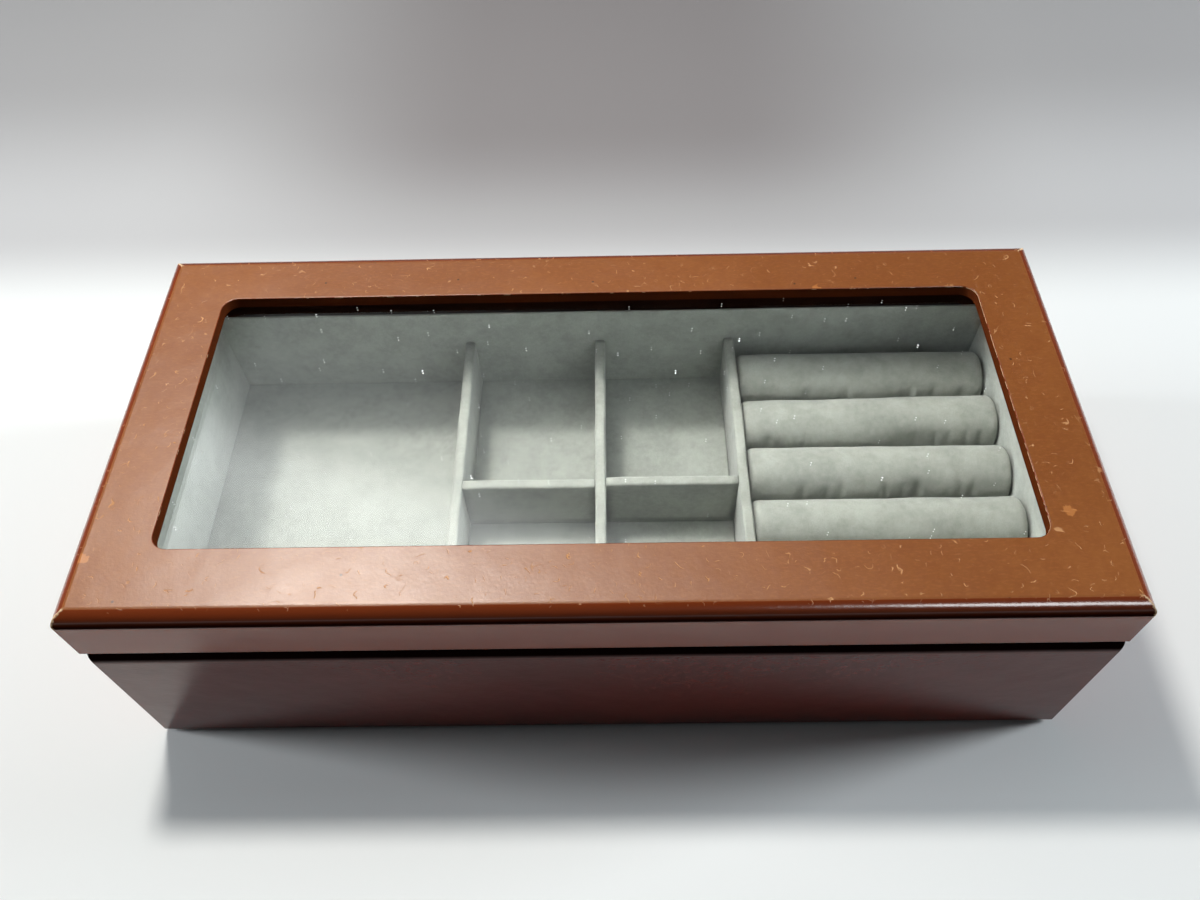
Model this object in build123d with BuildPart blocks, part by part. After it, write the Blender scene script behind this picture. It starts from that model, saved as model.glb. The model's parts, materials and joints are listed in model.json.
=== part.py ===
from build123d import *
import os

# A glass-topped watch and jewellery box with a hinged lid. Millimetres, +Z up, front at -Y, hinges at +Y.
# Origin: centre of the base's footprint, on the surface it stands on.

os.makedirs("parts", exist_ok=True)

# ---------------------------------------------------------------- driving dimensions
lid_width = 300.0
box_depth = 140.5
box_height = 84.5
base_width = 299.0
base_height = 63.0                # table to the rim that the lid closes on
lid_shift = -0.5                  # the lid hangs this far off centre on its hinges
wall = 8.5                        # thickness of every fibreboard wall and rail
rim_curve = (0.7, 6.0)            # width and height of the slight lean of the base's faces below the lid
lid_curve = (4.2, 4.4)            # width and height of the rounding-over of the lid's top edges
foot_round = 0.8
lid_edge_ease = 0.4

felt_thickness = 0.8
felt_margin = 4.0
bottom_thickness = 5.0
bottom_rebate = 4.0               # how far the bottom panel is let into the walls

floor_top = 24.0                  # upper face of the compartments' floor
floor_card = 1.6
lining = 0.9
lining_gap = 0.1                  # between a lining and its neighbours at the corners
lining_drop = 0.6                 # the linings stop this far below the rim

divider_top = 47.7
divider_thickness = 3.6
divider_core = 2.0
divider_spacing = 48.6            # between the three dividers that run front to back
divider_middle_x = -0.5
divider_end_gap = 0.2
cross_divider_y = -3.2
board_fit = 0.1                   # clearance on each side of a board in its slot

roll_count = 5
roll_pitch = 21.5
roll_radius = 10.35
roll_first_y = 47.4
roll_centre_z = 37.9
roll_foot_width = 15.0
roll_cover = 0.8
roll_foam_gap = 0.1
roll_end_gap = 0.4
pad_card = 1.5

panel_thickness = 9.0             # lid's top panel
window_width = 255.0
window_depth = 97.8
window_y = 0.8
window_corner = 5.0
window_ease = 0.3
window_lip = 3.9                  # top face down to the glass
glass_rebate = 8.5                # width of the ledge that the glass lies against
glass_thickness = 2.0
glass_gap = 0.3
glass_corner = 4.0
bead_width = 4.5

hinge_x = 92.0
hinge_length = 30.0
hinge_reach = 9.9                 # pin axis to the far edge of a leaf
leaf_thickness = 1.0
mortise_gap = 0.1
knuckle_radius = 1.9
knuckle_count = 5
knuckle_gap = 0.12
knuckle_clearance = 0.3           # between a leaf's edge and the other leaf's knuckles
pin_radius = 0.9
pin_fit = 0.03
barrel_offset = 2.15              # back face of the box to the pin axis

screw_spacing = 18.0
screw_length = 7.0
screw_radius = 0.85
screw_head_radius = 1.7
screw_sink = 0.05
screw_tip = 1.2
screw_fit = 0.05
recess_width = 0.5
recess_length = 2.0
recess_depth = 0.45

# ---------------------------------------------------------------- worked-out places
half_depth = box_depth / 2
half_base = base_width / 2
half_lid = lid_width / 2
inner_x = half_base - wall        # bare inner faces of the base
inner_y = half_depth - wall
lined_x = inner_x - lining
lined_y = inner_y - lining
panel_bottom = box_height - panel_thickness
glass_top = box_height - window_lip
glass_bottom = glass_top - glass_thickness
hinge_y = half_depth + barrel_offset
mortise_y = hinge_y - hinge_reach
screw_y = (mortise_y + half_depth) / 2
bay_floor = floor_top + pad_card

FRONT, BACK, LEFT, RIGHT = (0, -1, 0), (0, 1, 0), (-1, 0, 0), (1, 0, 0)


def save(builder, name):
    """Label a finished piece and write its STEP file."""
    builder.part.label = name
    export_step(builder.part, f"parts/{name}.step")


def side_plane(outward, centre=(0, 0)):
    """A plane across a rail: its x runs outward, its y runs up, and its z runs along the rail."""
    return Plane(origin=(*centre, 0), x_dir=outward, z_dir=Vector(*outward).cross(Vector(0, 0, 1)))


def edge_waste(reach, high, size, mode=Mode.ADD):
    """The section that a rounding-over cutter takes off an outer upper edge.

    size is the curve's width and height. It leaves a crisp arris above and runs smoothly into the
    upright face below.
    """
    width, height = size
    with BuildLine() as outline:
        curve = TangentArc((reach, high - height), (reach - width, high), tangent=(0, 1))
        Polyline(
            curve @ 1,
            (reach - width, high + 1),
            (reach + 1, high + 1),
            (reach + 1, high - height),
            curve @ 0,
        )
    make_face(outline.edges(), mode=mode)


def mitred_rail(
    outward, reach, half_length, thickness, low, high, rebate=(0, 0), curve=None, ease=0, centre=(0, 0)
):
    """One side of a rectangular frame with 45 degree ends.

    reach is the distance from the frame's centre to the outer face, rebate is the width and height cut
    from the inner lower edge, curve is the size of the upper outer edge's rounding-over, and ease is the
    radius of the lower outer edge.
    """
    with BuildPart() as rail:
        with BuildSketch(side_plane(outward, centre)) as section:
            with Locations((reach - thickness / 2, (low + high) / 2)):
                Rectangle(thickness, high - low)
            if ease:
                fillet(section.vertices().group_by(Axis.X)[-1].sort_by(Axis.Y)[0], ease)
            if curve:
                edge_waste(reach, high, curve, Mode.SUBTRACT)
            if rebate[0]:
                with Locations((reach - thickness + rebate[0] / 2, low + rebate[1] / 2)):
                    Rectangle(*rebate, mode=Mode.SUBTRACT)
        extrude(amount=half_length, both=True)
        with BuildSketch(Plane(origin=(*centre, low), x_dir=outward, z_dir=(0, 0, 1))):
            with BuildLine():
                Polyline(
                    (reach, -half_length),
                    (reach, half_length),
                    (reach - thickness, half_length - thickness),
                    (reach - thickness, thickness - half_length),
                    close=True,
                )
            make_face()
        extrude(amount=high - low, mode=Mode.INTERSECT)
    return rail


def cut_mortises(low):
    """Let both hinge leaves into a back rail: low is the lower face of the leaves."""
    with BuildSketch(Plane.XY.offset(low)) as outline:
        for x in (-hinge_x, hinge_x):
            with Locations((x, (mortise_y + hinge_y) / 2)):
                Rectangle(hinge_length + 2 * mortise_gap, hinge_reach)
    extrude(outline.sketch, amount=leaf_thickness, mode=Mode.SUBTRACT)


def drill_pilots(face_z, direction):
    """Blind pilot holes for the hinge screws, from the mortise's face into the board."""
    with BuildSketch(Plane.XY.offset(face_z)) as holes:
        for x in (-hinge_x, hinge_x):
            with Locations((x, screw_y)):
                with GridLocations(screw_spacing, 1, 2, 1):
                    Circle(screw_radius + screw_fit)
    extrude(holes.sketch, amount=direction * screw_length, mode=Mode.SUBTRACT)


# ---------------------------------------------------------------- base case
base_sides = {
    "front": (FRONT, half_depth, half_base),
    "back": (BACK, half_depth, half_base),
    "left": (LEFT, half_base, half_depth),
    "right": (RIGHT, half_base, half_depth),
}
for side, (outward, reach, half_length) in base_sides.items():
    base_wall = mitred_rail(
        outward,
        reach,
        half_length,
        wall,
        felt_thickness,
        base_height,
        rebate=(bottom_rebate, bottom_thickness),
        curve=rim_curve,
        ease=foot_round,
    )
    if side == "back":
        with base_wall:
            cut_mortises(base_height - leaf_thickness)
            drill_pilots(base_height - leaf_thickness, -1)
    save(base_wall, f"base_{side}_wall")

with BuildPart() as bottom_panel:
    with BuildSketch(Plane.XY.offset(felt_thickness)):
        Rectangle(2 * (inner_x + bottom_rebate), 2 * (inner_y + bottom_rebate))
    extrude(amount=bottom_thickness)
save(bottom_panel, "base_bottom_panel")

with BuildPart() as underside_felt:
    with BuildSketch():
        RectangleRounded(base_width - 2 * felt_margin, box_depth - 2 * felt_margin, felt_margin)
    extrude(amount=felt_thickness)
save(underside_felt, "underside_felt")

# ---------------------------------------------------------------- raised floor and wall linings
spacer_low = felt_thickness + bottom_thickness
spacer_high = floor_top - floor_card
with BuildPart() as floor_spacer:
    with BuildSketch(Plane.XY.offset(spacer_low)):
        Rectangle(2 * (inner_x - lining_gap), 2 * (inner_y - lining_gap))
    extrude(amount=spacer_high - spacer_low)
save(floor_spacer, "floor_spacer")

with BuildPart() as floor_lining:
    with BuildSketch(Plane.XY.offset(spacer_high)):
        Rectangle(2 * (inner_x - lining_gap), 2 * (inner_y - lining_gap))
    extrude(amount=floor_card)
save(floor_lining, "floor_lining")

lining_sides = {
    "front": (FRONT, inner_y, inner_x),
    "back": (BACK, inner_y, inner_x),
    "left": (LEFT, inner_x, lined_y - lining_gap),
    "right": (RIGHT, inner_x, lined_y - lining_gap),
}
for side, (outward, reach, half_length) in lining_sides.items():
    with BuildPart() as wall_lining:
        with BuildSketch(side_plane(outward)):
            with Locations((reach - lining / 2, (floor_top + base_height - lining_drop) / 2)):
                Rectangle(lining, base_height - lining_drop - floor_top)
        extrude(amount=half_length, both=True)
    save(wall_lining, f"lining_{side}")


# ---------------------------------------------------------------- dividers
def divider_board(plane, half_length, thickness, rounded):
    """An upright board standing on the floor: plane's x runs along it and its z runs across it."""
    with BuildSketch(plane.offset(-thickness / 2)) as face:
        with Locations((0, (floor_top + divider_top) / 2 - (divider_thickness - thickness) / 4)):
            Rectangle(2 * half_length, divider_top - floor_top - (divider_thickness - thickness) / 2)
    extrude(face.sketch, amount=thickness)
    if rounded:
        top_edges = edges().filter_by(Axis(plane.origin, plane.x_dir)).group_by(Axis.Z)[-1]
        fillet(top_edges, thickness / 2 - 0.1)


def across(centre, size):
    """Cut a box out of the divider that is being made."""
    with Locations(centre):
        Box(*size, mode=Mode.SUBTRACT)


half_height = (divider_top - floor_top) / 2
slot_width = divider_core + 2 * board_fit
long_half = lined_y - divider_end_gap
divider_xs = {
    "left": divider_middle_x - divider_spacing,
    "middle": divider_middle_x,
    "right": divider_middle_x + divider_spacing,
}
lower_slot_z = floor_top + half_height / 2
core_top = divider_top - (divider_thickness - divider_core) / 2
for name, x in divider_xs.items():
    plane = Plane(origin=(x, 0, 0), x_dir=(0, 1, 0), z_dir=(1, 0, 0))
    with BuildPart() as core:
        divider_board(plane, long_half, divider_core, rounded=False)
        if name == "middle":
            across((x, cross_divider_y, lower_slot_z), (divider_thickness, slot_width, half_height))
    save(core, f"divider_{name}_board")

    with BuildPart() as cover:
        divider_board(plane, long_half, divider_thickness, rounded=True)
        if name == "middle":
            across((x, cross_divider_y, lower_slot_z), (divider_thickness, slot_width, half_height))
        with BuildSketch(plane.offset(-divider_core / 2)):
            with Locations((0, (floor_top + core_top) / 2)):
                Rectangle(2 * long_half, core_top - floor_top)
        extrude(amount=divider_core, mode=Mode.SUBTRACT)
    save(cover, f"divider_{name}_cover")

cross_half = divider_spacing - divider_thickness / 2 - board_fit
cross_plane = Plane(origin=(divider_middle_x, cross_divider_y, 0), x_dir=(1, 0, 0), z_dir=(0, -1, 0))
upper_slot_z = floor_top + 1.5 * half_height
with BuildPart() as cross_board:
    divider_board(cross_plane, cross_half, divider_core, rounded=False)
    across(
        (divider_middle_x, cross_divider_y, upper_slot_z),
        (divider_thickness + 2 * board_fit, divider_thickness, half_height + 2 * board_fit),
    )
save(cross_board, "cross_divider_board")

with BuildPart() as cross_cover:
    divider_board(cross_plane, cross_half, divider_thickness, rounded=True)
    across(
        (divider_middle_x, cross_divider_y, floor_top + half_height),
        (divider_thickness + 2 * board_fit, 2 * divider_thickness, 3 * half_height),
    )
    with BuildSketch(cross_plane.offset(-divider_core / 2)):
        with Locations((0, (floor_top + core_top) / 2)):
            Rectangle(2 * cross_half, core_top - floor_top)
    extrude(amount=divider_core, mode=Mode.SUBTRACT)
save(cross_cover, "cross_divider_cover")

# ---------------------------------------------------------------- ring cushion
bay_left = divider_xs["right"] + divider_thickness / 2 + roll_end_gap
bay_right = lined_x - roll_end_gap
pad_back = roll_first_y + roll_radius
pad_front = roll_first_y - (roll_count - 1) * roll_pitch - roll_radius
with BuildPart() as ring_pad_card:
    with BuildSketch(Plane.XY.offset(floor_top)):
        with Locations(((bay_left + bay_right) / 2, (pad_front + pad_back) / 2)):
            Rectangle(bay_right - bay_left, pad_back - pad_front)
    extrude(amount=pad_card)
save(ring_pad_card, "ring_pad_card")


def roll_section(y, inset):
    """A roll's cross-section: round above, drawn in below to the strip that is glued to the card."""
    with BuildSketch(Plane(origin=(bay_left, y, 0), x_dir=(0, 1, 0), z_dir=(1, 0, 0))) as section:
        with Locations((0, roll_centre_z)):
            Circle(roll_radius - inset)
        with Locations((0, bay_floor + inset + roll_cover / 2)):
            Rectangle(roll_foot_width - 2 * inset, roll_cover)
        make_hull(section.edges())
    return section.sketch


for index in range(roll_count):
    roll_y = roll_first_y - index * roll_pitch
    with BuildPart() as foam:
        extrude(roll_section(roll_y, roll_cover + roll_foam_gap), amount=bay_right - bay_left)
    save(foam, f"ring_roll_{index + 1}_foam")

    with BuildPart() as sleeve:
        extrude(roll_section(roll_y, 0), amount=bay_right - bay_left)
        extrude(roll_section(roll_y, roll_cover), amount=bay_right - bay_left, mode=Mode.SUBTRACT)
    save(sleeve, f"ring_roll_{index + 1}_cover")

# ---------------------------------------------------------------- lid
lid_centre = (lid_shift, 0)
lid_sides = {
    "front": (FRONT, half_depth, half_lid),
    "back": (BACK, half_depth, half_lid),
    "left": (LEFT, half_lid, half_depth),
    "right": (RIGHT, half_lid, half_depth),
}
with BuildPart() as lid_top_panel:
    with BuildSketch(Plane.XY.offset(panel_bottom)):
        with Locations(lid_centre):
            Rectangle(lid_width, box_depth)
    extrude(amount=panel_thickness)
    for outward, reach, half_length in lid_sides.values():
        with BuildSketch(side_plane(outward, lid_centre)):
            edge_waste(reach, box_height, lid_curve)
        extrude(amount=half_length + 1, both=True, mode=Mode.SUBTRACT)
    with BuildSketch(Plane.XY.offset(box_height)):
        with Locations((lid_shift, window_y)):
            RectangleRounded(window_width, window_depth, window_corner)
    extrude(amount=-panel_thickness, mode=Mode.SUBTRACT)
    window_edges = lid_top_panel.faces().filter_by(Plane.XY).sort_by(Axis.Z)[-1].inner_wires()[0].edges()
    fillet(window_edges, window_ease)
    with BuildSketch(Plane.XY.offset(panel_bottom)):
        with Locations((lid_shift, window_y)):
            RectangleRounded(window_width + 2 * glass_rebate, window_depth + 2 * glass_rebate, glass_corner)
    extrude(amount=glass_top - panel_bottom, mode=Mode.SUBTRACT)
save(lid_top_panel, "lid_top_panel")

for side, (outward, reach, half_length) in lid_sides.items():
    lid_rail = mitred_rail(
        outward,
        reach,
        half_length,
        wall,
        base_height,
        panel_bottom,
        ease=lid_edge_ease,
        centre=lid_centre,
    )
    if side == "back":
        with lid_rail:
            cut_mortises(base_height)
            drill_pilots(base_height + leaf_thickness, 1)
    save(lid_rail, f"lid_{side}_rail")

glass_half_x = window_width / 2 + glass_rebate - glass_gap
glass_half_y = window_depth / 2 + glass_rebate - glass_gap
with BuildPart() as glass_pane:
    with BuildSketch(Plane.XY.offset(glass_bottom)):
        with Locations((lid_shift, window_y)):
            RectangleRounded(2 * glass_half_x, 2 * glass_half_y, glass_corner)
    extrude(amount=glass_thickness)
save(glass_pane, "glass_pane")

bead_sides = {
    "front": (FRONT, glass_half_y, glass_half_x),
    "back": (BACK, glass_half_y, glass_half_x),
    "left": (LEFT, glass_half_x, glass_half_y),
    "right": (RIGHT, glass_half_x, glass_half_y),
}
window_centre = (lid_shift, window_y)
with BuildPart() as bead_limit:
    # the beads' outer corners are rounded like the rebate they lie in
    with BuildSketch(Plane.XY.offset(panel_bottom)):
        with Locations(window_centre):
            RectangleRounded(2 * glass_half_x, 2 * glass_half_y, glass_corner)
    extrude(amount=glass_bottom - panel_bottom)
for side, (outward, reach, half_length) in bead_sides.items():
    bead = mitred_rail(
        outward,
        reach,
        half_length,
        bead_width,
        panel_bottom,
        glass_bottom,
        centre=window_centre,
    )
    with bead:
        add(bead_limit.part, mode=Mode.INTERSECT)
    save(bead, f"glazing_bead_{side}")


# ---------------------------------------------------------------- hinges
knuckle_pitch = hinge_length / knuckle_count


def hinge_leaf(x, leaf_low, own_knuckles):
    """A leaf with its rolled knuckles and two countersunk holes: leaf_low is its lower face."""
    upward = leaf_low < base_height
    plate_back = hinge_y - knuckle_radius - knuckle_clearance
    with BuildPart() as leaf:
        with BuildSketch(Plane.XY.offset(leaf_low)):
            with Locations((x, (mortise_y + plate_back) / 2)):
                Rectangle(hinge_length, plate_back - mortise_y)
            for index in own_knuckles:
                knuckle_x = x + (index - (knuckle_count - 1) / 2) * knuckle_pitch
                with Locations((knuckle_x, (plate_back + hinge_y) / 2 - pin_radius / 2)):
                    Rectangle(knuckle_pitch - knuckle_gap, hinge_y - plate_back + pin_radius)
        extrude(amount=leaf_thickness)
        for index in own_knuckles:
            knuckle_x = x + (index - (knuckle_count - 1) / 2) * knuckle_pitch
            start = knuckle_x - (knuckle_pitch - knuckle_gap) / 2
            with BuildSketch(Plane.YZ.offset(start)):
                with Locations((hinge_y, base_height)):
                    Circle(knuckle_radius)
            extrude(amount=knuckle_pitch - knuckle_gap)
        with BuildSketch(Plane.YZ.offset(x - hinge_length / 2)):
            with Locations((hinge_y, base_height)):
                Circle(pin_radius + pin_fit)
        extrude(amount=hinge_length, mode=Mode.SUBTRACT)
        # the countersinks open on the face that the two leaves share
        sink_plane = Plane(origin=(0, 0, base_height), x_dir=(1, 0, 0), z_dir=(0, 0, 1 if upward else -1))
        with Locations(sink_plane):
            with Locations((x, screw_y if upward else -screw_y)):
                with GridLocations(screw_spacing, 1, 2, 1):
                    CounterSinkHole(
                        screw_radius + screw_fit,
                        screw_head_radius + screw_fit,
                        depth=leaf_thickness,
                    )
    return leaf


for side, x in (("left", -hinge_x), ("right", hinge_x)):
    save(hinge_leaf(x, base_height - leaf_thickness, (0, 2, 4)), f"hinge_{side}_base_leaf")
    save(hinge_leaf(x, base_height, (1, 3)), f"hinge_{side}_lid_leaf")

    with BuildPart() as hinge_pin:
        with BuildSketch(Plane.YZ.offset(x - hinge_length / 2)):
            with Locations((hinge_y, base_height)):
                Circle(pin_radius)
        extrude(amount=hinge_length)
    save(hinge_pin, f"hinge_{side}_pin")


def hinge_screws(direction):
    """The four countersunk screws of one side, heads at the shared face, driven along direction."""
    with BuildPart() as screws:
        for x in (-hinge_x, hinge_x):
            for offset_x in (-screw_spacing / 2, screw_spacing / 2):
                head = Plane(
                    origin=(x + offset_x, screw_y, base_height + direction * screw_sink),
                    x_dir=(1, 0, 0),
                    z_dir=(0, direction, 0),
                )
                head_depth = screw_head_radius - screw_radius
                with BuildSketch(head):
                    with BuildLine():
                        Polyline(
                            (0, 0),
                            (screw_head_radius, 0),
                            (screw_radius, -head_depth),
                            (screw_radius, screw_tip - screw_length),
                            (0, -screw_length),
                            close=True,
                        )
                    make_face()
                revolve(axis=Axis(head.origin, head.y_dir))
                with Locations(head.origin):
                    Box(recess_length, recess_width, 2 * recess_depth, mode=Mode.SUBTRACT)
                    Box(recess_width, recess_length, 2 * recess_depth, mode=Mode.SUBTRACT)
    return screws


save(hinge_screws(-1), "hinge_base_screws")
save(hinge_screws(1), "hinge_lid_screws")
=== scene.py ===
import json
import math

import bpy
import numpy as np
from mathutils import Matrix, Vector, noise


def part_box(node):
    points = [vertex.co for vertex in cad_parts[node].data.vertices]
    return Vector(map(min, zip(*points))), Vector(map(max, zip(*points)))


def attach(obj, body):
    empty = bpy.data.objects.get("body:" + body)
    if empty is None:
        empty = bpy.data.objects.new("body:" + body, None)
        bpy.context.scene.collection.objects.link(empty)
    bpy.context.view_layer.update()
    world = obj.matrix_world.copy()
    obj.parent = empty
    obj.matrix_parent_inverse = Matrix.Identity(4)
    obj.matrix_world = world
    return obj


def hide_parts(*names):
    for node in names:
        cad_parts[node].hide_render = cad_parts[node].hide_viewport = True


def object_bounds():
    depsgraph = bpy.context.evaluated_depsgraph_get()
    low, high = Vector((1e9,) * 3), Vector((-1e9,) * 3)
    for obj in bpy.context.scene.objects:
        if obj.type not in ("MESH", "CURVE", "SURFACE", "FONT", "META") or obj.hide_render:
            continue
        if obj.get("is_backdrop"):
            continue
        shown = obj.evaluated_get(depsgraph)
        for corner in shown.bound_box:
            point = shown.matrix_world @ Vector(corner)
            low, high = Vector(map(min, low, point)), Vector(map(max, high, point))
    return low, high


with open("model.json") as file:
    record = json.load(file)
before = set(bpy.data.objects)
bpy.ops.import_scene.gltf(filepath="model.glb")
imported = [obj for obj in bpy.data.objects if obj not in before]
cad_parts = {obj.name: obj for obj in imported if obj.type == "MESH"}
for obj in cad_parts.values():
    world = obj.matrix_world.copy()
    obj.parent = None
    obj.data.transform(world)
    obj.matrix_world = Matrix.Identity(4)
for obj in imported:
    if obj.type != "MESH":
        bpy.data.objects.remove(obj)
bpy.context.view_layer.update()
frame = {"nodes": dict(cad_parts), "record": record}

# The visual model of a glass-topped watch box, in metres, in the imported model's frame: +Z up, front
# at -Y. Materials work in millimetres of the same frame.
MM = 0.001
nodes = frame["nodes"]
lid_low, lid_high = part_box("lid_top_panel")
lid_centre_x = (lid_low.x + lid_high.x) / 2

# heights on the stained board, in millimetres
LID_TOP = lid_high.z / MM
ARRIS_FOOT = LID_TOP - 5.9             # the rounding of the lid's top arris starts here
BASE_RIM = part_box("base_front_wall")[1].z / MM
PAINTED_SHADE_START = BASE_RIM - 8.0       # the band of painted shade under the lid starts here


# ------------------------------------------------------------------ shader building
def srgb(red, green, blue):
    """A linear colour from 0-255 sRGB values."""
    def linear(value):
        value /= 255
        return value / 12.92 if value <= 0.04045 else ((value + 0.055) / 1.055) ** 2.4
    return (linear(red), linear(green), linear(blue), 1.0)


class Shader:
    """A procedural material being built. Its methods add nodes and return their sockets."""

    def __init__(self, name):
        self.material = bpy.data.materials.new(name)
        self.material.use_nodes = True
        self.tree = self.material.node_tree
        self.tree.nodes.clear()
        coordinates = self.tree.nodes.new("ShaderNodeTexCoord")
        self.normal = coordinates.outputs["Normal"]
        self.place = self.scale(coordinates.outputs["Object"], 1 / MM)     # the shaded point, in mm
        self.x, self.y, self.z = self.split(self.place)

    def feed(self, socket, value):
        """Link a socket to an input, or set the input's own value; None leaves it alone."""
        if isinstance(value, bpy.types.NodeSocket):
            self.tree.links.new(value, socket)
        elif value is not None:
            socket.default_value = value

    def scale(self, vector, factor):
        """A vector times a number, or times three numbers."""
        node = self.tree.nodes.new("ShaderNodeVectorMath")
        node.operation = "MULTIPLY"
        self.feed(node.inputs[0], vector)
        node.inputs[1].default_value = factor if isinstance(factor, tuple) else (factor,) * 3
        return node.outputs[0]

    def shift(self, vector, offset):
        node = self.tree.nodes.new("ShaderNodeVectorMath")
        node.operation = "ADD"
        self.feed(node.inputs[0], vector)
        self.feed(node.inputs[1], offset)
        return node.outputs[0]

    def split(self, vector):
        node = self.tree.nodes.new("ShaderNodeSeparateXYZ")
        self.feed(node.inputs[0], vector)
        return node.outputs

    def math(self, operation, first, second=None):
        node = self.tree.nodes.new("ShaderNodeMath")
        node.operation = operation
        self.feed(node.inputs[0], first)
        self.feed(node.inputs[1], second)
        return node.outputs[0]

    def noise(self, per_mm, detail=2.0, roughness=0.5, where=None):
        """Noise with that many features per millimetre, 0 to 1."""
        node = self.tree.nodes.new("ShaderNodeTexNoise")
        self.feed(node.inputs["Vector"], self.place if where is None else where)
        node.inputs["Scale"].default_value = per_mm
        node.inputs["Detail"].default_value = detail
        node.inputs["Roughness"].default_value = roughness
        return node.outputs["Fac"]

    def cells(self, per_mm):
        """Points scattered over the plan: the distance to the nearest in mm, and its random number."""
        node = self.tree.nodes.new("ShaderNodeTexVoronoi")
        node.voronoi_dimensions = "2D"
        self.feed(node.inputs["Vector"], self.place)
        node.inputs["Scale"].default_value = per_mm
        distance = self.math("DIVIDE", node.outputs["Distance"], per_mm)
        return distance, self.split(node.outputs["Color"])[0]

    def mask(self, value, start, full):
        """0 at start, 1 at full, smooth between; start may be the larger."""
        node = self.tree.nodes.new("ShaderNodeMapRange")
        node.interpolation_type = "SMOOTHSTEP"
        self.feed(node.inputs["Value"], value)
        rising = start < full
        node.inputs["From Min"].default_value = min(start, full)
        node.inputs["From Max"].default_value = max(start, full)
        node.inputs["To Min"].default_value = 0.0 if rising else 1.0
        node.inputs["To Max"].default_value = 1.0 if rising else 0.0
        return node.outputs["Result"]

    def both(self, *masks):
        """The product of several masks."""
        total = masks[0]
        for other in masks[1:]:
            total = self.math("MULTIPLY", total, other)
        return total

    def either(self, *masks):
        """The largest of several masks."""
        total = masks[0]
        for other in masks[1:]:
            total = self.math("MAXIMUM", total, other)
        return total

    def between(self, factor, low, high):
        """A number from low to high as factor goes from 0 to 1."""
        node = self.tree.nodes.new("ShaderNodeMapRange")
        self.feed(node.inputs["Value"], factor)
        node.inputs["To Min"].default_value = low
        node.inputs["To Max"].default_value = high
        return node.outputs["Result"]

    def mix(self, factor, first, second):
        """A colour: first at factor 0, second at factor 1."""
        node = self.tree.nodes.new("ShaderNodeMix")
        node.data_type = "RGBA"        # its colour sockets are inputs 6 and 7 and output 2
        self.feed(node.inputs[0], factor)
        self.feed(node.inputs[6], first)
        self.feed(node.inputs[7], second)
        return node.outputs[2]

    def bump(self, *layers):
        """A normal from (height, depth in mm) layers, stacked."""
        normal = None
        for height, depth in layers:
            node = self.tree.nodes.new("ShaderNodeBump")
            node.inputs["Distance"].default_value = depth * MM
            self.feed(node.inputs["Height"], height)
            self.feed(node.inputs["Normal"], normal)
            normal = node.outputs["Normal"]
        return normal

    def surface(self, **inputs):
        """The principled shader with these inputs, named in lower case with underscores."""
        node = self.tree.nodes.new("ShaderNodeBsdfPrincipled")
        for name, value in inputs.items():
            title = name.replace("_", " ").title().replace("Ior", "IOR")
            self.feed(node.inputs[title], value)
        return node.outputs[0]

    def finish(self, surface):
        output = self.tree.nodes.new("ShaderNodeOutputMaterial")
        self.feed(output.inputs["Surface"], surface)
        return self.material


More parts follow.
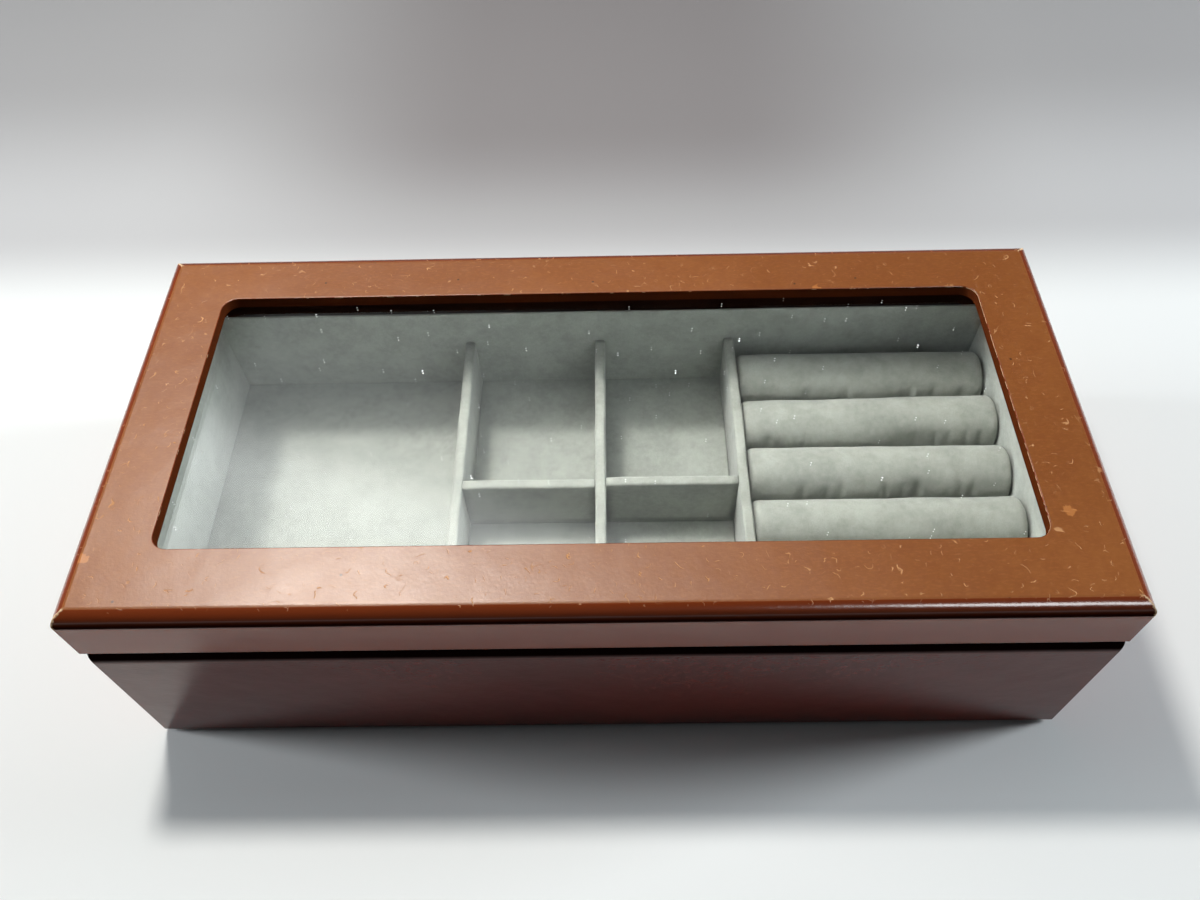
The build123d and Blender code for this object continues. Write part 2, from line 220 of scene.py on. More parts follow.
# ------------------------------------------------------------------ materials
def stained_board(name, gloss):
    """Stained and lacquered fibreboard: orange-brown on top, darker and redder on the cut edges."""
    s = Shader(name)
    up = s.split(s.normal)[2]
    top = s.mask(up, 0.955, 0.985)

    # the lid's rounded arris, the dark band on the base under the lid, and upright faces well inside
    # the lid's outline, such as the window's edge. The colours below paint shade on all three
    shoulder = s.both(s.mask(s.z, ARRIS_FOOT, ARRIS_FOOT + 1.2), s.mask(up, 0.98, 0.95))
    painted_shade_band = s.both(s.mask(s.z, PAINTED_SHADE_START, PAINTED_SHADE_START + 3.6),
                  s.mask(s.z, BASE_RIM + 0.3, BASE_RIM + 0.1))
    from_end = s.math("SUBTRACT", (lid_high.x - lid_low.x) / 2 / MM,
                      s.math("ABSOLUTE", s.math("SUBTRACT", s.x, lid_centre_x / MM)))
    from_side = s.math("SUBTRACT", lid_high.y / MM, s.math("ABSOLUTE", s.y))
    inward = s.both(s.mask(from_end, 7.6, 8.2), s.mask(from_side, 7.6, 8.2), s.mask(up, 0.5, 0.3))

    clouds = s.mask(s.noise(0.012, 3.0), 0.35, 0.65)
    mottle = s.mask(s.noise(0.35, 4.0, 0.65), 0.30, 0.70)
    fibre_grain = s.noise(1.6, 3.0, 0.7, where=s.scale(s.place, (0.35, 1.0, 1.0)))
    top_colour = s.mix(clouds, srgb(134, 76, 31), srgb(146, 86, 38))
    top_colour = s.mix(s.both(mottle, 0.35), top_colour, srgb(122, 62, 25))
    top_colour = s.mix(s.both(s.mask(fibre_grain, 0.45, 0.75), 0.35), top_colour, srgb(170, 106, 58))
    side_colour = s.mix(clouds, srgb(92, 24, 15), srgb(102, 30, 18))
    side_colour = s.mix(s.both(mottle, 0.30), side_colour, srgb(70, 17, 12))
    # painted light: the lid's sides are lighter and redder than the base's, for the brighter light on
    # them
    painted_light_above_rim = s.mask(s.z, BASE_RIM - 1.0, BASE_RIM + 0.5)
    side_colour = s.mix(s.both(painted_light_above_rim, 0.8), side_colour, srgb(140, 62, 32))
    # painted shade: the band under the lid is near-black and stands in for the shadow under the lid
    side_colour = s.mix(painted_shade_band, side_colour, srgb(14, 4, 3))
    # painted shade: the arris's rounding is near-black at its foot and turns brown towards the top
    shoulder_rise = s.mask(s.z, LID_TOP - 4.5, LID_TOP - 0.5)
    shoulder_shade_colour = s.mix(shoulder_rise, srgb(26, 6, 4), srgb(118, 50, 20))
    # painted shade: the window's edge is darkened; lower down is the dark brown paint of the lid's
    # inside
    inward_rise = s.mask(s.z, LID_TOP - 9.5, LID_TOP - 6.5)
    inward_paint_and_shade = s.mix(inward_rise, srgb(20, 9, 6), srgb(72, 32, 13))
    colour = s.mix(shoulder, side_colour, shoulder_shade_colour)
    colour = s.mix(top, colour, top_colour)
    colour = s.mix(inward, colour, inward_paint_and_shade)

    # pale fibres in the board, short curved strokes a millimetre or two long
    strokes = []
    for per_mm, spacing, reach, width in ((0.12, 0.085, 2.0, 0.009), (0.16, 0.12, 1.5, 0.011),
                                          (0.24, 0.17, 1.1, 0.015), (0.34, 0.24, 0.8, 0.021)):
        bend = s.noise(per_mm, 1.5, where=s.shift(s.place, (17.0 / per_mm, 0.0, 0.0)))
        line = s.mask(s.math("ABSOLUTE", s.math("SUBTRACT", bend, 0.5)), width, width * 0.4)
        distance, chance = s.cells(spacing)
        strokes.append(s.both(line, s.mask(distance, reach, reach * 0.6), s.mask(chance, 0.20, 0.95)))
    pale = s.both(s.either(*strokes), s.mask(up, 0.85, 0.97))
    colour = s.mix(s.both(pale, s.between(mottle, 0.5, 0.85)), colour, srgb(216, 160, 106))
    distance, chance = s.cells(0.022)
    ragged = s.math("ADD", distance, s.math("MULTIPLY", s.noise(0.7, 2.0), 3.0))
    blot = s.both(s.mask(ragged, 3.4, 2.9), s.mask(chance, 0.60, 0.62), top)
    colour = s.mix(s.both(blot, 0.7), colour, srgb(196, 126, 66))
    distance, chance = s.cells(0.045)
    dark = s.both(s.mask(distance, 0.5, 0.3), s.mask(chance, 0.70, 0.72), top)
    colour = s.mix(s.both(dark, 0.8), colour, srgb(52, 24, 14))

    # bare board where the lacquer has worn through: the lid's corner arrises and the window's edge
    ragged = s.noise(0.9, 3.0, 0.6)
    arris = s.mask(s.math("ADD", s.math("ABSOLUTE", s.math("SUBTRACT", from_end, from_side)),
                          s.math("MULTIPLY", ragged, 2.2)), 1.75, 1.15)
    corner = s.both(arris, s.mask(s.math("MAXIMUM", from_end, from_side), 5.0, 4.0),
                    s.mask(s.z, LID_TOP - 6.5, LID_TOP - 3.5), s.mask(up, 0.999, 0.97))
    eased = s.both(s.mask(s.z, LID_TOP - 0.33, LID_TOP - 0.25), s.mask(up, 0.92, 0.85), inward)
    rubbed_right = s.mask(s.math("SUBTRACT", s.x, lid_centre_x / MM), 118.0, 124.0)
    patchy = s.math("ADD", s.noise(0.12, 4.0, 0.7), s.both(rubbed_right, 0.10))
    rubbed = s.both(eased, s.mask(patchy, 0.56, 0.62))
    colour = s.mix(s.either(corner, rubbed), colour, srgb(226, 192, 150))

    smudges = s.noise(0.05, 4.0, 0.6)
    roughness = s.math("ADD", s.between(smudges, 0.16, 0.22),
                       s.both(top, s.between(smudges, 0.12, 0.20)))
    dull = s.either(inward, painted_shade_band, s.both(shoulder, s.mask(s.z, LID_TOP - 1.9, LID_TOP - 3.1)))
    roughness = s.math("ADD", roughness, s.both(s.either(corner, rubbed, pale, dull), 0.5))
    glossy = s.both(s.mask(s.z, LID_TOP - 3.5, LID_TOP - 0.5), s.mask(up, 0.3, 0.7))
    level = s.both(s.between(glossy, 0.42, gloss), s.between(dull, 1.0, 0.0))
    normal = s.bump((s.noise(0.9, 3.0, 0.6), 0.035), (s.noise(0.06, 2.0), 0.25), (pale, -0.03))
    surface = s.surface(base_color=colour, roughness=roughness, normal=normal, ior=1.5,
                        specular_ior_level=level, specular_tint=(1.0, 0.97, 0.92, 1.0))
    surface.node.inputs["Specular IOR Level"].default_value = gloss        # an export drops the link
    return s.finish(surface)


def raw_board():
    """Bare fibreboard, pale and a little furry."""
    s = Shader("raw_board")
    colour = s.mix(s.noise(0.6, 5.0, 0.7), srgb(150, 118, 84), srgb(178, 146, 108))
    normal = s.bump((s.noise(1.5, 4.0, 0.7), 0.08))
    return s.finish(s.surface(base_color=colour, roughness=0.85, normal=normal))


def grey_card():
    """Recycled grey card, under the cloth."""
    s = Shader("grey_card")
    colour = s.mix(s.noise(0.8, 5.0, 0.7), srgb(128, 126, 118), srgb(156, 153, 144))
    normal = s.bump((s.noise(2.0, 4.0, 0.7), 0.05))
    return s.finish(s.surface(base_color=colour, roughness=0.9, normal=normal))


def packing_board():
    """Corrugated packing board."""
    s = Shader("packing_board")
    flutes = s.math("SINE", s.math("MULTIPLY", s.x, 2.2))
    colour = s.mix(s.noise(0.5, 4.0, 0.7), srgb(166, 138, 100), srgb(190, 162, 122))
    normal = s.bump((flutes, 0.15), (s.noise(1.5, 4.0, 0.7), 0.05))
    return s.finish(s.surface(base_color=colour, roughness=0.9, normal=normal))


def suede(name, light, dark):
    """Short-napped imitation suede: cloudy where the nap lies differently, with fine fuzz."""
    s = Shader(name)
    nap = s.mask(s.noise(0.10, 3.0, 0.6), 0.32, 0.68)
    patches = s.mask(s.noise(0.45, 3.0, 0.6), 0.30, 0.72)
    fuzz = s.noise(3.0, 3.0, 0.75)
    colour = s.mix(nap, srgb(*dark), srgb(*light))
    colour = s.mix(s.both(patches, 0.35), colour, srgb(*(min(255, c * 1.10) for c in light)))
    colour = s.mix(s.both(s.mask(fuzz, 0.38, 0.70), 0.40), colour, srgb(*(c * 0.86 for c in dark)))
    normal = s.bump((fuzz, 0.012), (s.noise(0.5, 3.0, 0.6), 0.03))
    return s.finish(s.surface(base_color=colour, roughness=0.95, normal=normal,
                              sheen_weight=0.2, sheen_roughness=0.55, specular_ior_level=0.15))


def felt():
    """Near-black wool felt."""
    s = Shader("felt")
    fuzz = s.noise(1.8, 4.0, 0.75)
    colour = s.mix(fuzz, srgb(26, 25, 27), srgb(54, 52, 54))
    normal = s.bump((fuzz, 0.2))
    return s.finish(s.surface(base_color=colour, roughness=1.0, normal=normal, sheen_weight=0.3,
                              sheen_roughness=0.5, specular_ior_level=0.1))


def foam():
    """Pale open-celled foam."""
    s = Shader("foam")
    distance, _ = s.cells(1.6)
    colour = s.mix(s.mask(distance, 0.1, 0.35), srgb(176, 176, 168), srgb(222, 221, 212))
    normal = s.bump((distance, 0.5))
    return s.finish(s.surface(base_color=colour, roughness=1.0, normal=normal))


def brass():
    """Brass plating that has dulled a little, with fine brushing along the leaves."""
    s = Shader("brass")
    brushing = s.noise(3.0, 3.0, 0.6, where=s.scale(s.place, (0.08, 1.0, 1.0)))
    tarnish = s.mask(s.noise(0.35, 4.0, 0.65), 0.45, 0.70)
    colour = s.mix(s.both(tarnish, 0.6), srgb(212, 172, 98), srgb(150, 110, 58))
    roughness = s.math("ADD", s.between(brushing, 0.18, 0.34), s.both(tarnish, 0.2))
    normal = s.bump((brushing, 0.02))
    return s.finish(s.surface(base_color=colour, metallic=1.0, roughness=roughness, normal=normal))


def clear_glass():
    """A clear pane with dust specks on it; lamps shine straight through."""
    s = Shader("clear_glass")
    glass = s.surface(base_color=(0.97, 0.97, 0.96, 1.0), roughness=0.0, ior=1.45,
                      transmission_weight=1.0)
    clear = s.tree.nodes.new("ShaderNodeBsdfTransparent")
    clear.inputs["Color"].default_value = (0.92, 0.92, 0.91, 1.0)
    rays = s.tree.nodes.new("ShaderNodeLightPath")
    pane = s.tree.nodes.new("ShaderNodeMixShader")
    s.feed(pane.inputs[0], rays.outputs["Is Shadow Ray"])
    s.feed(pane.inputs[1], glass)
    s.feed(pane.inputs[2], clear.outputs[0])
    dots = []
    for spacing, size, share in ((0.035, 0.50, 0.60), (0.09, 0.30, 0.45)):
        distance, chance = s.cells(spacing)
        ragged = s.math("ADD", distance, s.math("MULTIPLY", s.noise(2.5, 2.0), size * 1.2))
        dots.append(s.both(s.mask(ragged, size * 1.35, size * 0.9),
                           s.mask(chance, share, share + 0.01)))
    on_top = s.mask(s.split(s.normal)[2], 0.8, 0.95)
    dust = s.both(s.either(*dots), on_top)
    white = s.surface(base_color=(0.85, 0.86, 0.85, 1.0), roughness=0.9)
    both = s.tree.nodes.new("ShaderNodeMixShader")
    s.feed(both.inputs[0], dust)
    s.feed(both.inputs[1], pane.outputs[0])
    s.feed(both.inputs[2], white)
    return s.finish(both.outputs[0])


def paper():
    """The pale sheet that the box stands on, with painted shade: greyer further back, darkest far
    behind the middle.
    """
    s = Shader("paper")
    # painted shade: greyer further back, and darkest far behind the box's middle
    middle = s.both(s.mask(s.math("ABSOLUTE", s.x), 240.0, 60.0), s.mask(s.y, 120.0, 260.0))
    colour = s.mix(s.mask(s.y, 118.0, 180.0), srgb(236, 237, 234), srgb(192, 191, 190))
    colour = s.mix(s.mask(s.y, 190.0, 310.0), colour, srgb(166, 164, 163))
    colour = s.mix(middle, colour, srgb(137, 132, 131))
    return s.finish(s.surface(base_color=colour, roughness=0.75, specular_ior_level=0.3))


materials = {
    "stained_board": stained_board("stained_board", 0.5),
    "raw_board": raw_board(),
    "clear_glass": clear_glass(),
    "felt": felt(),
    "spacer_board": packing_board(),
    "suede_lining": suede("suede_lining", (160, 164, 157), (144, 148, 141)),
    "suede_cover": suede("suede_cover", (154, 157, 149), (136, 139, 132)),
    "grey_board": grey_card(),
    "foam": foam(),
    "brass": brass(),
}
slot_of = {part["node"]: part["material_slot"] for part in frame["record"]["subparts"]}
for name, node in nodes.items():
    node.data.materials.clear()
    node.data.materials.append(materials[slot_of[name]])
nodes["lid_top_panel"].data.materials[0] = stained_board("lid_board", 1.0)


# ------------------------------------------------------------------ mesh building
def new_piece(name, points, faces, slot, body, replaced=()):
    """A mesh piece that rides on a body, takes a slot's finish and stands for CAD nodes."""
    mesh = bpy.data.meshes.new(name)
    mesh.from_pydata([tuple(p) for p in points], [], [tuple(f) for f in faces])
    mesh.validate()
    mesh.update()
    mesh.shade_smooth()
    piece = bpy.data.objects.new(name, mesh)
    bpy.context.scene.collection.objects.link(piece)
    mesh.materials.append(materials[slot])
    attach(piece, body)
    if replaced:
        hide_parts(*replaced)
    return piece


def graded(low, high, radius, step):
    """Places along one edge of a rounded box: close over the rounding, then about step apart."""
    turn = [radius * (1 - math.cos(math.radians(a))) for a in (0, 30, 60, 90)]
    steps = round((high - low - 2 * radius) / step)
    inner = np.linspace(low + radius, high - radius, max(2, steps + 1))
    return [low + t for t in turn[:-1]] + list(inner) + [high - t for t in reversed(turn[:-1])]


def rounded_box(low, high, radius, step):
    """Points and quads of a closed box with rounded edges."""
    # a thin box keeps a little flat between its two roundings
    radii = [min(radius, (high[i] - low[i]) / 2.2) for i in range(3)]
    axes = [graded(low[i], high[i], radii[i], step) for i in range(3)]
    counts = [len(a) for a in axes]
    points, index, faces = [], {}, []

    def corner(key):
        if key not in index:
            index[key] = len(points)
            point = Vector([axes[i][key[i]] for i in range(3)])
            core = Vector([min(max(point[i], low[i] + radii[i]), high[i] - radii[i]) for i in range(3)])
            away = point - core
            reach = Vector([away[i] / radii[i] for i in range(3)])
            if reach.length > 1e-9:
                reach = reach * (max(abs(c) for c in reach) / reach.length)
            points.append(core + Vector([reach[i] * radii[i] for i in range(3)]))
        return index[key]

    for axis in range(3):
        u, v = (axis + 1) % 3, (axis + 2) % 3
        for level in (0, counts[axis] - 1):
            for i in range(counts[u] - 1):
                for j in range(counts[v] - 1):
                    ring = []
                    for du, dv in ((0, 0), (1, 0), (1, 1), (0, 1)):
                        key = [0, 0, 0]
                        key[axis], key[u], key[v] = level, i + du, j + dv
                        ring.append(corner(tuple(key)))
                    faces.append(ring if level else ring[::-1])
    return points, faces


# Blender draws noise_vector's offset from the clock unless noise.seed_set is called, which it isn't
# here, so the fine ripples below differ by a few tenths of a millimetre from run to run.
def rippled(points, amount, size, seed):
    """Move points by smooth noise of that amount, with features of that size."""
    drift = Vector((seed * 7.31, seed * 3.17, seed * 5.71))
    return [Vector(p) + noise.noise_vector(Vector(p) / size + drift) * amount for p in points]


def lofted(loops):
    """Points and faces of a tube through closed loops of equal length, closed at both ends."""
    count = len(loops[0])
    points = [p for loop in loops for p in loop]
    faces = []
    for row in range(len(loops) - 1):
        for i in range(count):
            j = (i + 1) % count
            a, b = row * count, (row + 1) * count
            faces.append((a + i, a + j, b + j, b + i))
    faces.append(tuple(reversed(range(count))))
    faces.append(tuple(range((len(loops) - 1) * count, len(loops) * count)))
    return points, faces


# ------------------------------------------------------------------ camera and stage
CAMERA_PLACE = (lid_centre_x + 5.18 * MM, -186.08 * MM, 322.29 * MM)
CAMERA_YAW, CAMERA_PITCH, CAMERA_ROLL = math.radians(-1.538), math.radians(54.412), math.radians(-2.113)
SENSOR, LENS = 36.0, 29.21
DIFFUSER_PLACE = (-0.27, 0.36, 0.95)
DIFFUSER_TURN = math.radians(-20)
DIFFUSER_STRENGTH = 3.6
SKIRT_STRENGTH = 1.27
ROOM_FRONT, ROOM_BACK = 0.02, 0.10


def make_camera():
    """The camera stands above and in front of the box, looking down at it, slightly rolled."""
    data = bpy.data.cameras.new("camera")
    data.sensor_width, data.lens = SENSOR, LENS
    data.clip_start, data.clip_end = 0.01, 20
    camera = bpy.data.objects.new("camera", data)
    bpy.context.scene.collection.objects.link(camera)
    forward = Vector((math.sin(CAMERA_YAW) * math.cos(CAMERA_PITCH),
                      math.cos(CAMERA_YAW) * math.cos(CAMERA_PITCH),
                      -math.sin(CAMERA_PITCH)))
    level = Vector((math.cos(CAMERA_YAW), -math.sin(CAMERA_YAW), 0))
    above = level.cross(forward)
    right = level * math.cos(CAMERA_ROLL) + above * math.sin(CAMERA_ROLL)
    upward = above * math.cos(CAMERA_ROLL) - level * math.sin(CAMERA_ROLL)
    turn = Matrix((right, upward, -forward)).transposed().to_4x4()
    camera.matrix_world = Matrix.Translation(CAMERA_PLACE) @ turn
    bpy.context.scene.camera = camera


def make_stage():
    """A pale sheet that runs back from the box and curves up far behind it."""
    width, front, bend, wall_y, height = 1.6, -1.4, 0.9, 1.5, 1.6
    radius = wall_y - bend
    outline = [(front, 0.0), (-0.3, 0.0), (0.3, 0.0), (bend, 0.0)]
    for turn in np.linspace(0.2, math.pi / 2, 8):
        outline.append((bend + radius * math.sin(turn), radius * (1 - math.cos(turn))))
    outline.append((wall_y, height))
    points = [(x, y, z) for y, z in outline for x in (-width, width)]
    faces = [(2 * i, 2 * i + 1, 2 * i + 3, 2 * i + 2) for i in range(len(outline) - 1)]
    mesh = bpy.data.meshes.new("paper_sweep")
    mesh.from_pydata(points, [], faces)
    mesh.shade_smooth()
    mesh.materials.append(paper())
    sweep = bpy.data.objects.new("paper_sweep", mesh)
    bpy.context.scene.collection.objects.link(sweep)
    sweep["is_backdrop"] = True


def make_lamp(name, place, size, power, colour, mirrored=True, lighting=True):
    """A soft oval lamp aimed at the box, size across and up. It may only light, or only be mirrored."""
    data = bpy.data.lights.new(name, "AREA")
    data.shape, data.energy, data.color = "ELLIPSE", power, colour
    data.size, data.size_y = size
    lamp = bpy.data.objects.new(name, data)
    lamp.visible_glossy = mirrored
    lamp.visible_diffuse = lighting
    bpy.context.scene.collection.objects.link(lamp)
    away = Vector(place) - Vector((0, 0, 0.04))
    side = Vector((0, 1, 0)).cross(away).normalized()
    turn = Matrix((side, away.normalized().cross(side), away.normalized())).transposed().to_4x4()
    lamp.matrix_world = Matrix.Translation(place) @ turn


def make_diffuser():
    """The long soft source beside the key lamp. The glass and the lid mirror it as a pale veil."""
    s = Shader("diffuser")
    core = s.both(s.mask(s.x, 640.0, 240.0), s.mask(s.x, -520.0, -430.0),
                  s.mask(s.y, 240.0, 90.0), s.mask(s.y, -140.0, -70.0))
    skirt = s.both(s.mask(s.x, 560.0, -200.0), s.mask(s.x, -500.0, -380.0), s.mask(s.y, 640.0, 150.0),
                   s.mask(s.y, 60.0, 160.0))
    strength = s.math("ADD", s.both(core, DIFFUSER_STRENGTH), s.both(skirt, SKIRT_STRENGTH))
    glow = s.tree.nodes.new("ShaderNodeEmission")
    glow.inputs["Color"].default_value = (0.96, 1.0, 1.0, 1.0)
    s.feed(glow.inputs["Strength"], strength)
    half_x, half_y = 0.75, 0.66
    mesh = bpy.data.meshes.new("diffuser")
    corners = [(-half_x, -half_y, 0), (half_x, -half_y, 0), (half_x, half_y, 0), (-half_x, half_y, 0)]
    mesh.from_pydata(corners, [], [(0, 3, 2, 1)])
    mesh.materials.append(s.finish(glow.outputs[0]))
    panel = bpy.data.objects.new("diffuser", mesh)
    bpy.context.scene.collection.objects.link(panel)
    panel.location = DIFFUSER_PLACE
    panel.rotation_euler = (0, 0, DIFFUSER_TURN)
    panel.visible_camera = panel.visible_diffuse = False
    panel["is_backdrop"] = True


def make_room():
    """Dim light from all round: brighter overhead and behind the box, dark where the viewer stands."""
    world = bpy.data.worlds.new("room")
    world.use_nodes = True
    tree = world.node_tree
    coordinates = tree.nodes.new("ShaderNodeTexCoord")
    direction = tree.nodes.new("ShaderNodeSeparateXYZ")
    tree.links.new(coordinates.outputs["Generated"], direction.inputs[0])
    strength = tree.nodes.new("ShaderNodeMapRange")
    strength.interpolation_type = "SMOOTHSTEP"
    tree.links.new(direction.outputs["Y"], strength.inputs["Value"])
    strength.inputs["From Min"].default_value = -0.4
    strength.inputs["From Max"].default_value = 0.3
    strength.inputs["To Min"].default_value = ROOM_FRONT
    strength.inputs["To Max"].default_value = ROOM_BACK
    background = tree.nodes["Background"]
    background.inputs["Color"].default_value = (0.84, 0.93, 1.0, 1.0)
    tree.links.new(strength.outputs["Result"], background.inputs["Strength"])
    bpy.context.scene.world = world


def make_lights():
    """A key lamp overhead and a gleam that stands for its reflection, a front lamp that shows only in
    reflections, two low windows at the sides, the diffuser and the dim room."""
    make_lamp("key", (-0.195, 0.188, 0.70), (0.10, 0.08), 4.0, (1.0, 0.985, 0.96), mirrored=False)
    make_lamp("gleam", (-0.235, 0.185, 0.70), (0.26, 0.08), 2.3, (0.97, 1.0, 0.99), lighting=False)
    make_lamp("front_right", (0.58, -0.86, 0.83), (0.45, 0.35), 4.0, (0.86, 0.94, 1.0), lighting=False)
    make_lamp("right_window", (1.22, 0.16, 0.34), (0.5, 0.3), 17.5, (0.86, 0.93, 1.0), mirrored=False)
    make_lamp("left_window", (-1.35, 0.06, 0.21), (0.7, 0.28), 27.0, (0.88, 0.94, 1.0), mirrored=False)
    make_diffuser()
    make_room()
    bpy.context.scene.view_settings.view_transform = "Standard"


make_camera()
make_stage()
make_lights()


# ------------------------------------------------------------------ linings and floor
for side in ("front", "back", "left", "right"):
    low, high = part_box(f"lining_{side}")
    points, faces = rounded_box(low, high, radius=0.45 * MM, step=3.0 * MM)
    points = rippled(points, amount=0.10 * MM, size=14 * MM, seed=len(side))
    new_piece(f"lining_{side}_suede", points, faces, "suede_lining", "base", [f"lining_{side}"])

low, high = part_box("floor_lining")
points, faces = rounded_box(low, high, radius=0.6 * MM, step=3.0 * MM)
points = rippled(points, amount=0.15 * MM, size=18 * MM, seed=9)
new_piece("floor_suede", points, faces, "suede_lining", "base", ["floor_lining"])

low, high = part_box("underside_felt")
points, faces = rounded_box(low, high, radius=0.3 * MM, step=4.0 * MM)
new_piece("underside_felt_pad", points, faces, "felt", "base", ["underside_felt"])


# ------------------------------------------------------------------ dividers
BOARD = 2.04 * MM          # the room inside a divider's cover


def cover_loop(thickness, low, high):
    """A suede cover's cross-section, folded over a board: a closed loop of (across, z) points with
    the outside first, and how many of them are outside."""
    half, inner = thickness / 2, BOARD / 2
    crown = []
    for angle in np.linspace(0, math.pi, 15):
        flat = math.copysign(abs(math.cos(angle)) ** 0.6, math.cos(angle))
        crown.append((half * flat, high - half * 0.8 * (1 - math.sin(angle) ** 0.6)))
    rise = np.linspace(low, crown[0][1], 7)[:-1]
    outer = [(half, z) for z in rise] + crown + [(-half, z) for z in reversed(rise)]
    inner_top = high - (thickness - BOARD) / 2
    lining = [(-inner, low), (-inner, inner_top), (inner, inner_top), (inner, low)]
    return outer + lining, len(outer)


def divider_cover(side, seed):
    """A suede skin folded over a divider board that runs front to back, its top a little uneven."""
    low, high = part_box(f"divider_{side}_cover")
    centre = (low.x + high.x) / 2
    section, outer_count = cover_loop(high.x - low.x, low.z, high.z)
    loops = []
    for y in np.linspace(low.y, high.y, max(3, round((high.y - low.y) / (2.5 * MM)))):
        loop = []
        for i, (across, z) in enumerate(section):
            point = Vector((centre + across, y, z))
            if i < outer_count:
                drift = noise.noise_vector(point / (9 * MM) + Vector((seed * 5.3, seed, 0))) * 0.22 * MM
                drift += noise.noise_vector(point / (30 * MM) + Vector((0, seed * 3.3, 0))) * 0.25 * MM
                rise = (z - low.z) / (high.z - low.z)
                point.x += drift.x * (0.3 + 0.7 * rise)
                point.z += min(0, drift.z * rise)
            loop.append(point)
        loops.append(loop)
    points, faces = lofted(loops)
    new_piece(f"divider_{side}_suede", points, faces, "suede_cover", "base", [f"divider_{side}_cover"])


for seed, side in enumerate(("left", "middle", "right")):
    divider_cover(side, seed)


def cross_covers():
    """The cross divider's suede is in two lengths, one each side of the middle divider."""
    low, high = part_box("cross_divider_cover")
    gap_low, gap_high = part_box("divider_middle_cover")
    centre = (low.y + high.y) / 2
    section, outer_count = cover_loop(high.y - low.y, low.z, high.z)
    for side, (start, end, step_y) in {"left": (low.x, gap_low.x - 0.1 * MM, -0.35 * MM),
                                       "right": (gap_high.x + 0.1 * MM, high.x, 0.25 * MM)}.items():
        seed = Vector((start * 90, 4, 0))
        loops = []
        for x in np.linspace(start, end, 18):
            loop = []
            for i, (across, z) in enumerate(section):
                point = Vector((x, centre + across, z))
                if i < outer_count:
                    rise = (z - low.z) / (high.z - low.z)
                    drift = noise.noise_vector(point / (10 * MM) + seed) * 0.22 * MM
                    point.y += drift.y * (0.3 + 0.7 * rise) + step_y * rise
                    point.z += min(0, drift.z * rise)
                loop.append(point)
            loops.append(loop)
        points, faces = lofted(loops)
        faces = [f[::-1] for f in faces]
        new_piece(f"cross_divider_suede_{side}", points, faces, "suede_cover", "base")
    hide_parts("cross_divider_cover")


cross_covers()


# ------------------------------------------------------------------ ring rolls
def roll_section(low, high, inset, count=40):
    """A roll's cross-section as (y, z) points: round above, drawn in below to the glued strip."""
    centre_y = (low.y + high.y) / 2
    radius = (high.y - low.y) / 2 - inset
    centre_z = high.z - (high.y - low.y) / 2
    drop = 2 * MM              # how far below the centre the round part ends
    neck_z = centre_z - drop
    neck_high = neck_z - low.z - inset
    neck_width = radius * math.cos(math.asin(drop / radius))
    foot = 7.0 * MM - inset    # half the width of the glued strip
    loop = []
    for i in range(count):
        angle = math.pi / 2 + 2 * math.pi * i / count
        y, z = radius * math.cos(angle), centre_z + radius * math.sin(angle)
        if z < neck_z:
            share = min(1.0, (neck_z - z) / (radius - drop))
            z = neck_z - neck_high * min(1.0, share * 1.15)
            limit = neck_width + (foot - neck_width) * (neck_z - z) / neck_high
            y = math.copysign(min(limit, abs(y) * 1.35 + (limit if share < 0.86 else 0)), y)
        loop.append((centre_y + y, z))
    return loop


SIM_SCALE = 10             # the cloth is simulated at this many times its size
SIM_FRAMES = 18


def inflate(piece, pinned, pressure, slack, most):
    """Run a cover as cloth under pressure, keeping each point within most of its place.

    As measured, the solver moves no point here, so this leaves the cover as it was. The rolls' shape
    comes from roll_section, rippled and tucked alone.
    """
    start = np.array([v.co for v in piece.data.vertices])
    dummy = bpy.data.objects.new("cloth", piece.data.copy())
    bpy.context.scene.collection.objects.link(dummy)
    dummy.data.transform(Matrix.Scale(SIM_SCALE, 4))
    group = dummy.vertex_groups.new(name="pinned")
    for index, weight in enumerate(pinned):
        if weight > 0:
            group.add([index], float(weight), "REPLACE")
    cloth = dummy.modifiers.new("cloth", "CLOTH")
    cloth.settings.quality = 6
    cloth.settings.mass = 0.3
    cloth.settings.tension_stiffness = 20
    cloth.settings.compression_stiffness = 20
    cloth.settings.shear_stiffness = 8
    cloth.settings.bending_stiffness = 0.6
    cloth.settings.air_damping = 3
    cloth.settings.use_pressure = True
    cloth.settings.uniform_pressure_force = pressure
    cloth.settings.shrink_min = -slack
    cloth.settings.vertex_group_mass = "pinned"
    cloth.settings.effector_weights.gravity = 0
    cloth.collision_settings.use_collision = False
    cloth.point_cache.frame_start, cloth.point_cache.frame_end = 1, SIM_FRAMES
    scene = bpy.context.scene
    for step in range(1, SIM_FRAMES + 1):
        scene.frame_set(step)
    settled = dummy.evaluated_get(bpy.context.evaluated_depsgraph_get())
    end = np.array([v.co for v in settled.data.vertices]) / SIM_SCALE
    scene.frame_set(1)
    bpy.data.objects.remove(dummy)
    move = end - start
    length = np.linalg.norm(move, axis=1, keepdims=True)
    move *= np.minimum(1, most / np.maximum(length, 1e-9))
    for vertex, place in zip(piece.data.vertices, start + move):
        vertex.co = place


def add_subdivision(piece):
    """Smooth a piece by one level of subdivision."""
    modifier = piece.modifiers.new("smooth", "SUBSURF")
    modifier.levels = modifier.render_levels = 1
    bpy.context.view_layer.objects.active = piece
    with bpy.context.temp_override(object=piece, active_object=piece):
        bpy.ops.object.modifier_apply(modifier=modifier.name)


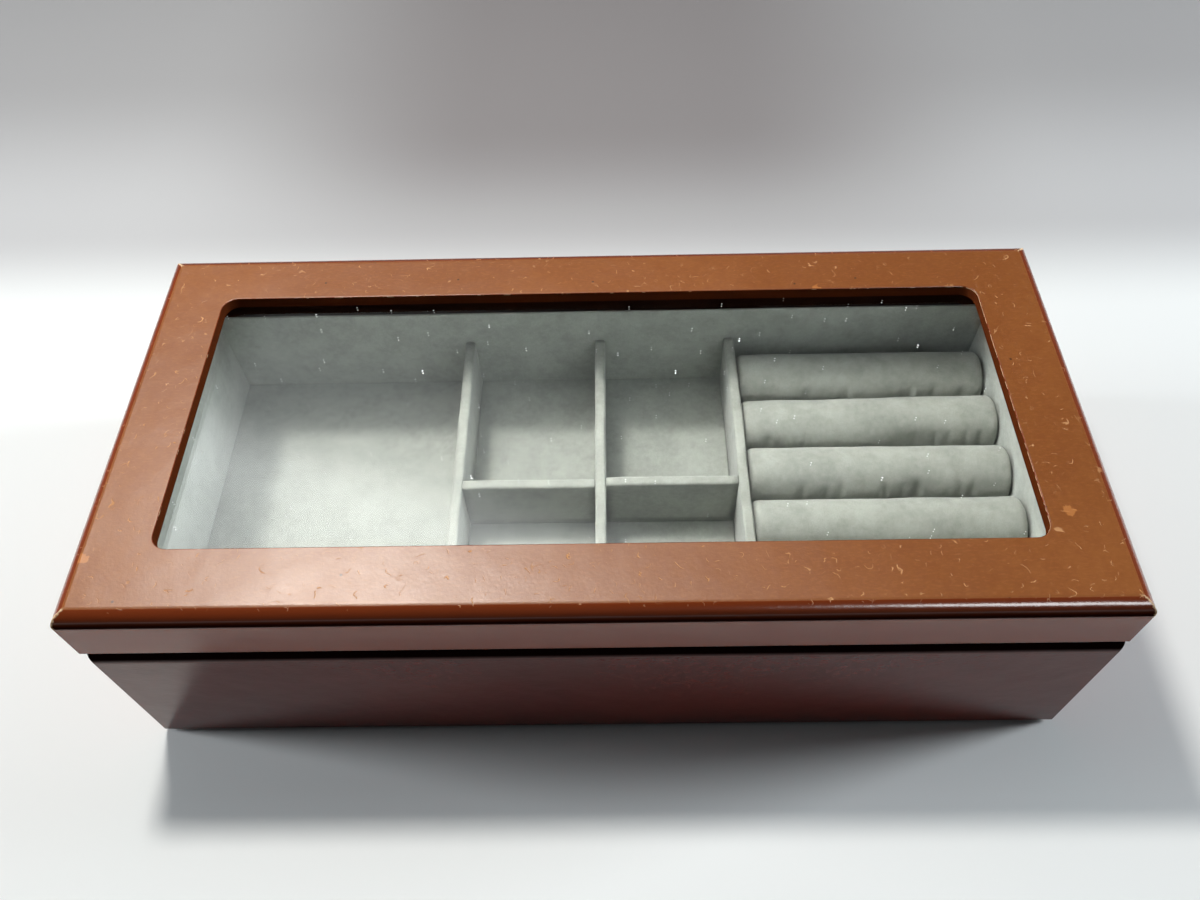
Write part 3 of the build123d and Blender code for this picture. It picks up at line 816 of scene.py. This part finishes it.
# each ring roll, from the back: how much higher its right end is than its left in mm, where along
# its length the dent is, from 0 to 1, and the dent's depth in mm
ROLL_SHAPES = (
    (-0.3, 0.30, 0.3),
    (1.8, 0.67, 1.5),
    (-0.3, 0.60, 0.8),
    (0.3, 0.35, 0.5),
    (-0.3, 0.50, 0.4),
)
PUCKER_DEPTH = 1.9         # scales the small puckers, in mm
DEEPEST_PRESS = 1.9        # no point is pressed in further than this, in mm


def tucked(points, number, centre, low_x, high_x):
    """Press small upright puckers and one dent into a roll's front, and raise one of its ends."""
    tilt, dent_share, dent_depth = ROLL_SHAPES[number - 1]
    pressed = []
    for x, y, z in points:
        share = (x - low_x) / (high_x - low_x)
        height = (z - centre[1]) / MM
        front = max(0.0, min(1.0, (centre[0] - y) / (5 * MM)))
        crease = noise.noise(Vector((x / (3.2 * MM), number * 7.0, z / (25 * MM))))
        busy = 0.6 + 0.6 * noise.noise(Vector((x / (20 * MM), number * 3.1, 5.0)))
        dent = math.exp(-((share - dent_share) / 0.09) ** 2 - ((height - 2.6) / 4.2) ** 2)
        pucker = max(0.0, crease) * busy * math.exp(-((height - 3.0) / 3.2) ** 2)
        press = front * min(DEEPEST_PRESS, PUCKER_DEPTH * pucker + dent_depth * dent) * MM
        raised = (share - 0.5) * tilt * max(0.0, min(1.0, height / 8)) * MM
        pressed.append((x, y + press, z - press * 0.35 + raised))
    return pressed


def ring_roll(number):
    """One ring roll: its suede cover, rounded in at both ends, and the foam rod inside."""
    low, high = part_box(f"ring_roll_{number}_cover")
    centre_y, centre_z = (low.y + high.y) / 2, high.z - (high.y - low.y) / 2
    inset = 0.45 * MM
    length = high.x - low.x
    edge = 1.6 * MM
    section = roll_section(low, high, inset)

    # the section is repeated along the roll and shrinks over the rounded ends
    rounding = [(0.0, 0.55), (0.0, 0.86), (0.25 * edge, 0.955), (edge, 1.0)]
    stations = rounding + [(spot, 1.0) for spot in np.linspace(2.2 * edge, length - 2.2 * edge, 60)]
    stations += [(length - spot, shrink) for spot, shrink in reversed(rounding)]
    loops = []
    for spot, shrink in stations:
        loops.append([(low.x + spot, centre_y + (y - centre_y) * shrink,
                       low.z + inset + (z - low.z - inset) * (1 if z < centre_z - 6 * MM else shrink))
                      for y, z in section])
    points, faces = lofted(loops)
    points = rippled(points, amount=0.25 * MM, size=11 * MM, seed=number)
    faces = [f[::-1] for f in faces]
    roll = new_piece(f"ring_roll_{number}_suede", points, faces, "suede_cover", "base",
                     [f"ring_roll_{number}_cover"])
    # the glued strip and both ends don't move as cloth
    pinned = []
    for x, _, z in points:
        between_ends = low.x + 0.4 * edge < x < high.x - 0.4 * edge
        pinned.append(1.0 if z < low.z + 1.2 * MM or not between_ends else 0.0)
    inflate(roll, pinned, pressure=1.2, slack=0.05, most=0.9 * MM)
    add_subdivision(roll)
    settled = [tuple(v.co) for v in roll.data.vertices]
    pressed = tucked(settled, number, (centre_y, centre_z), low.x, high.x)
    for vertex, place in zip(roll.data.vertices, pressed):
        vertex.co = place

    # the foam rod inside, small enough to stay behind the deepest dent
    inner = roll_section(low, high, 2.9 * MM, count=28)
    rod_low, rod_high = low.x + 1.5 * MM, high.x - 1.5 * MM
    loops = [[(x, y, z) for y, z in inner] for x in np.linspace(rod_low, rod_high, 12)]
    points, faces = lofted(loops)
    faces = [f[::-1] for f in faces]
    new_piece(f"ring_roll_{number}_foam_rod", points, faces, "foam", "base",
              [f"ring_roll_{number}_foam"])


roll_count = sum(name.startswith("ring_roll") and name.endswith("_cover") for name in nodes)
for number in range(1, roll_count + 1):
    ring_roll(number)

low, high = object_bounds()
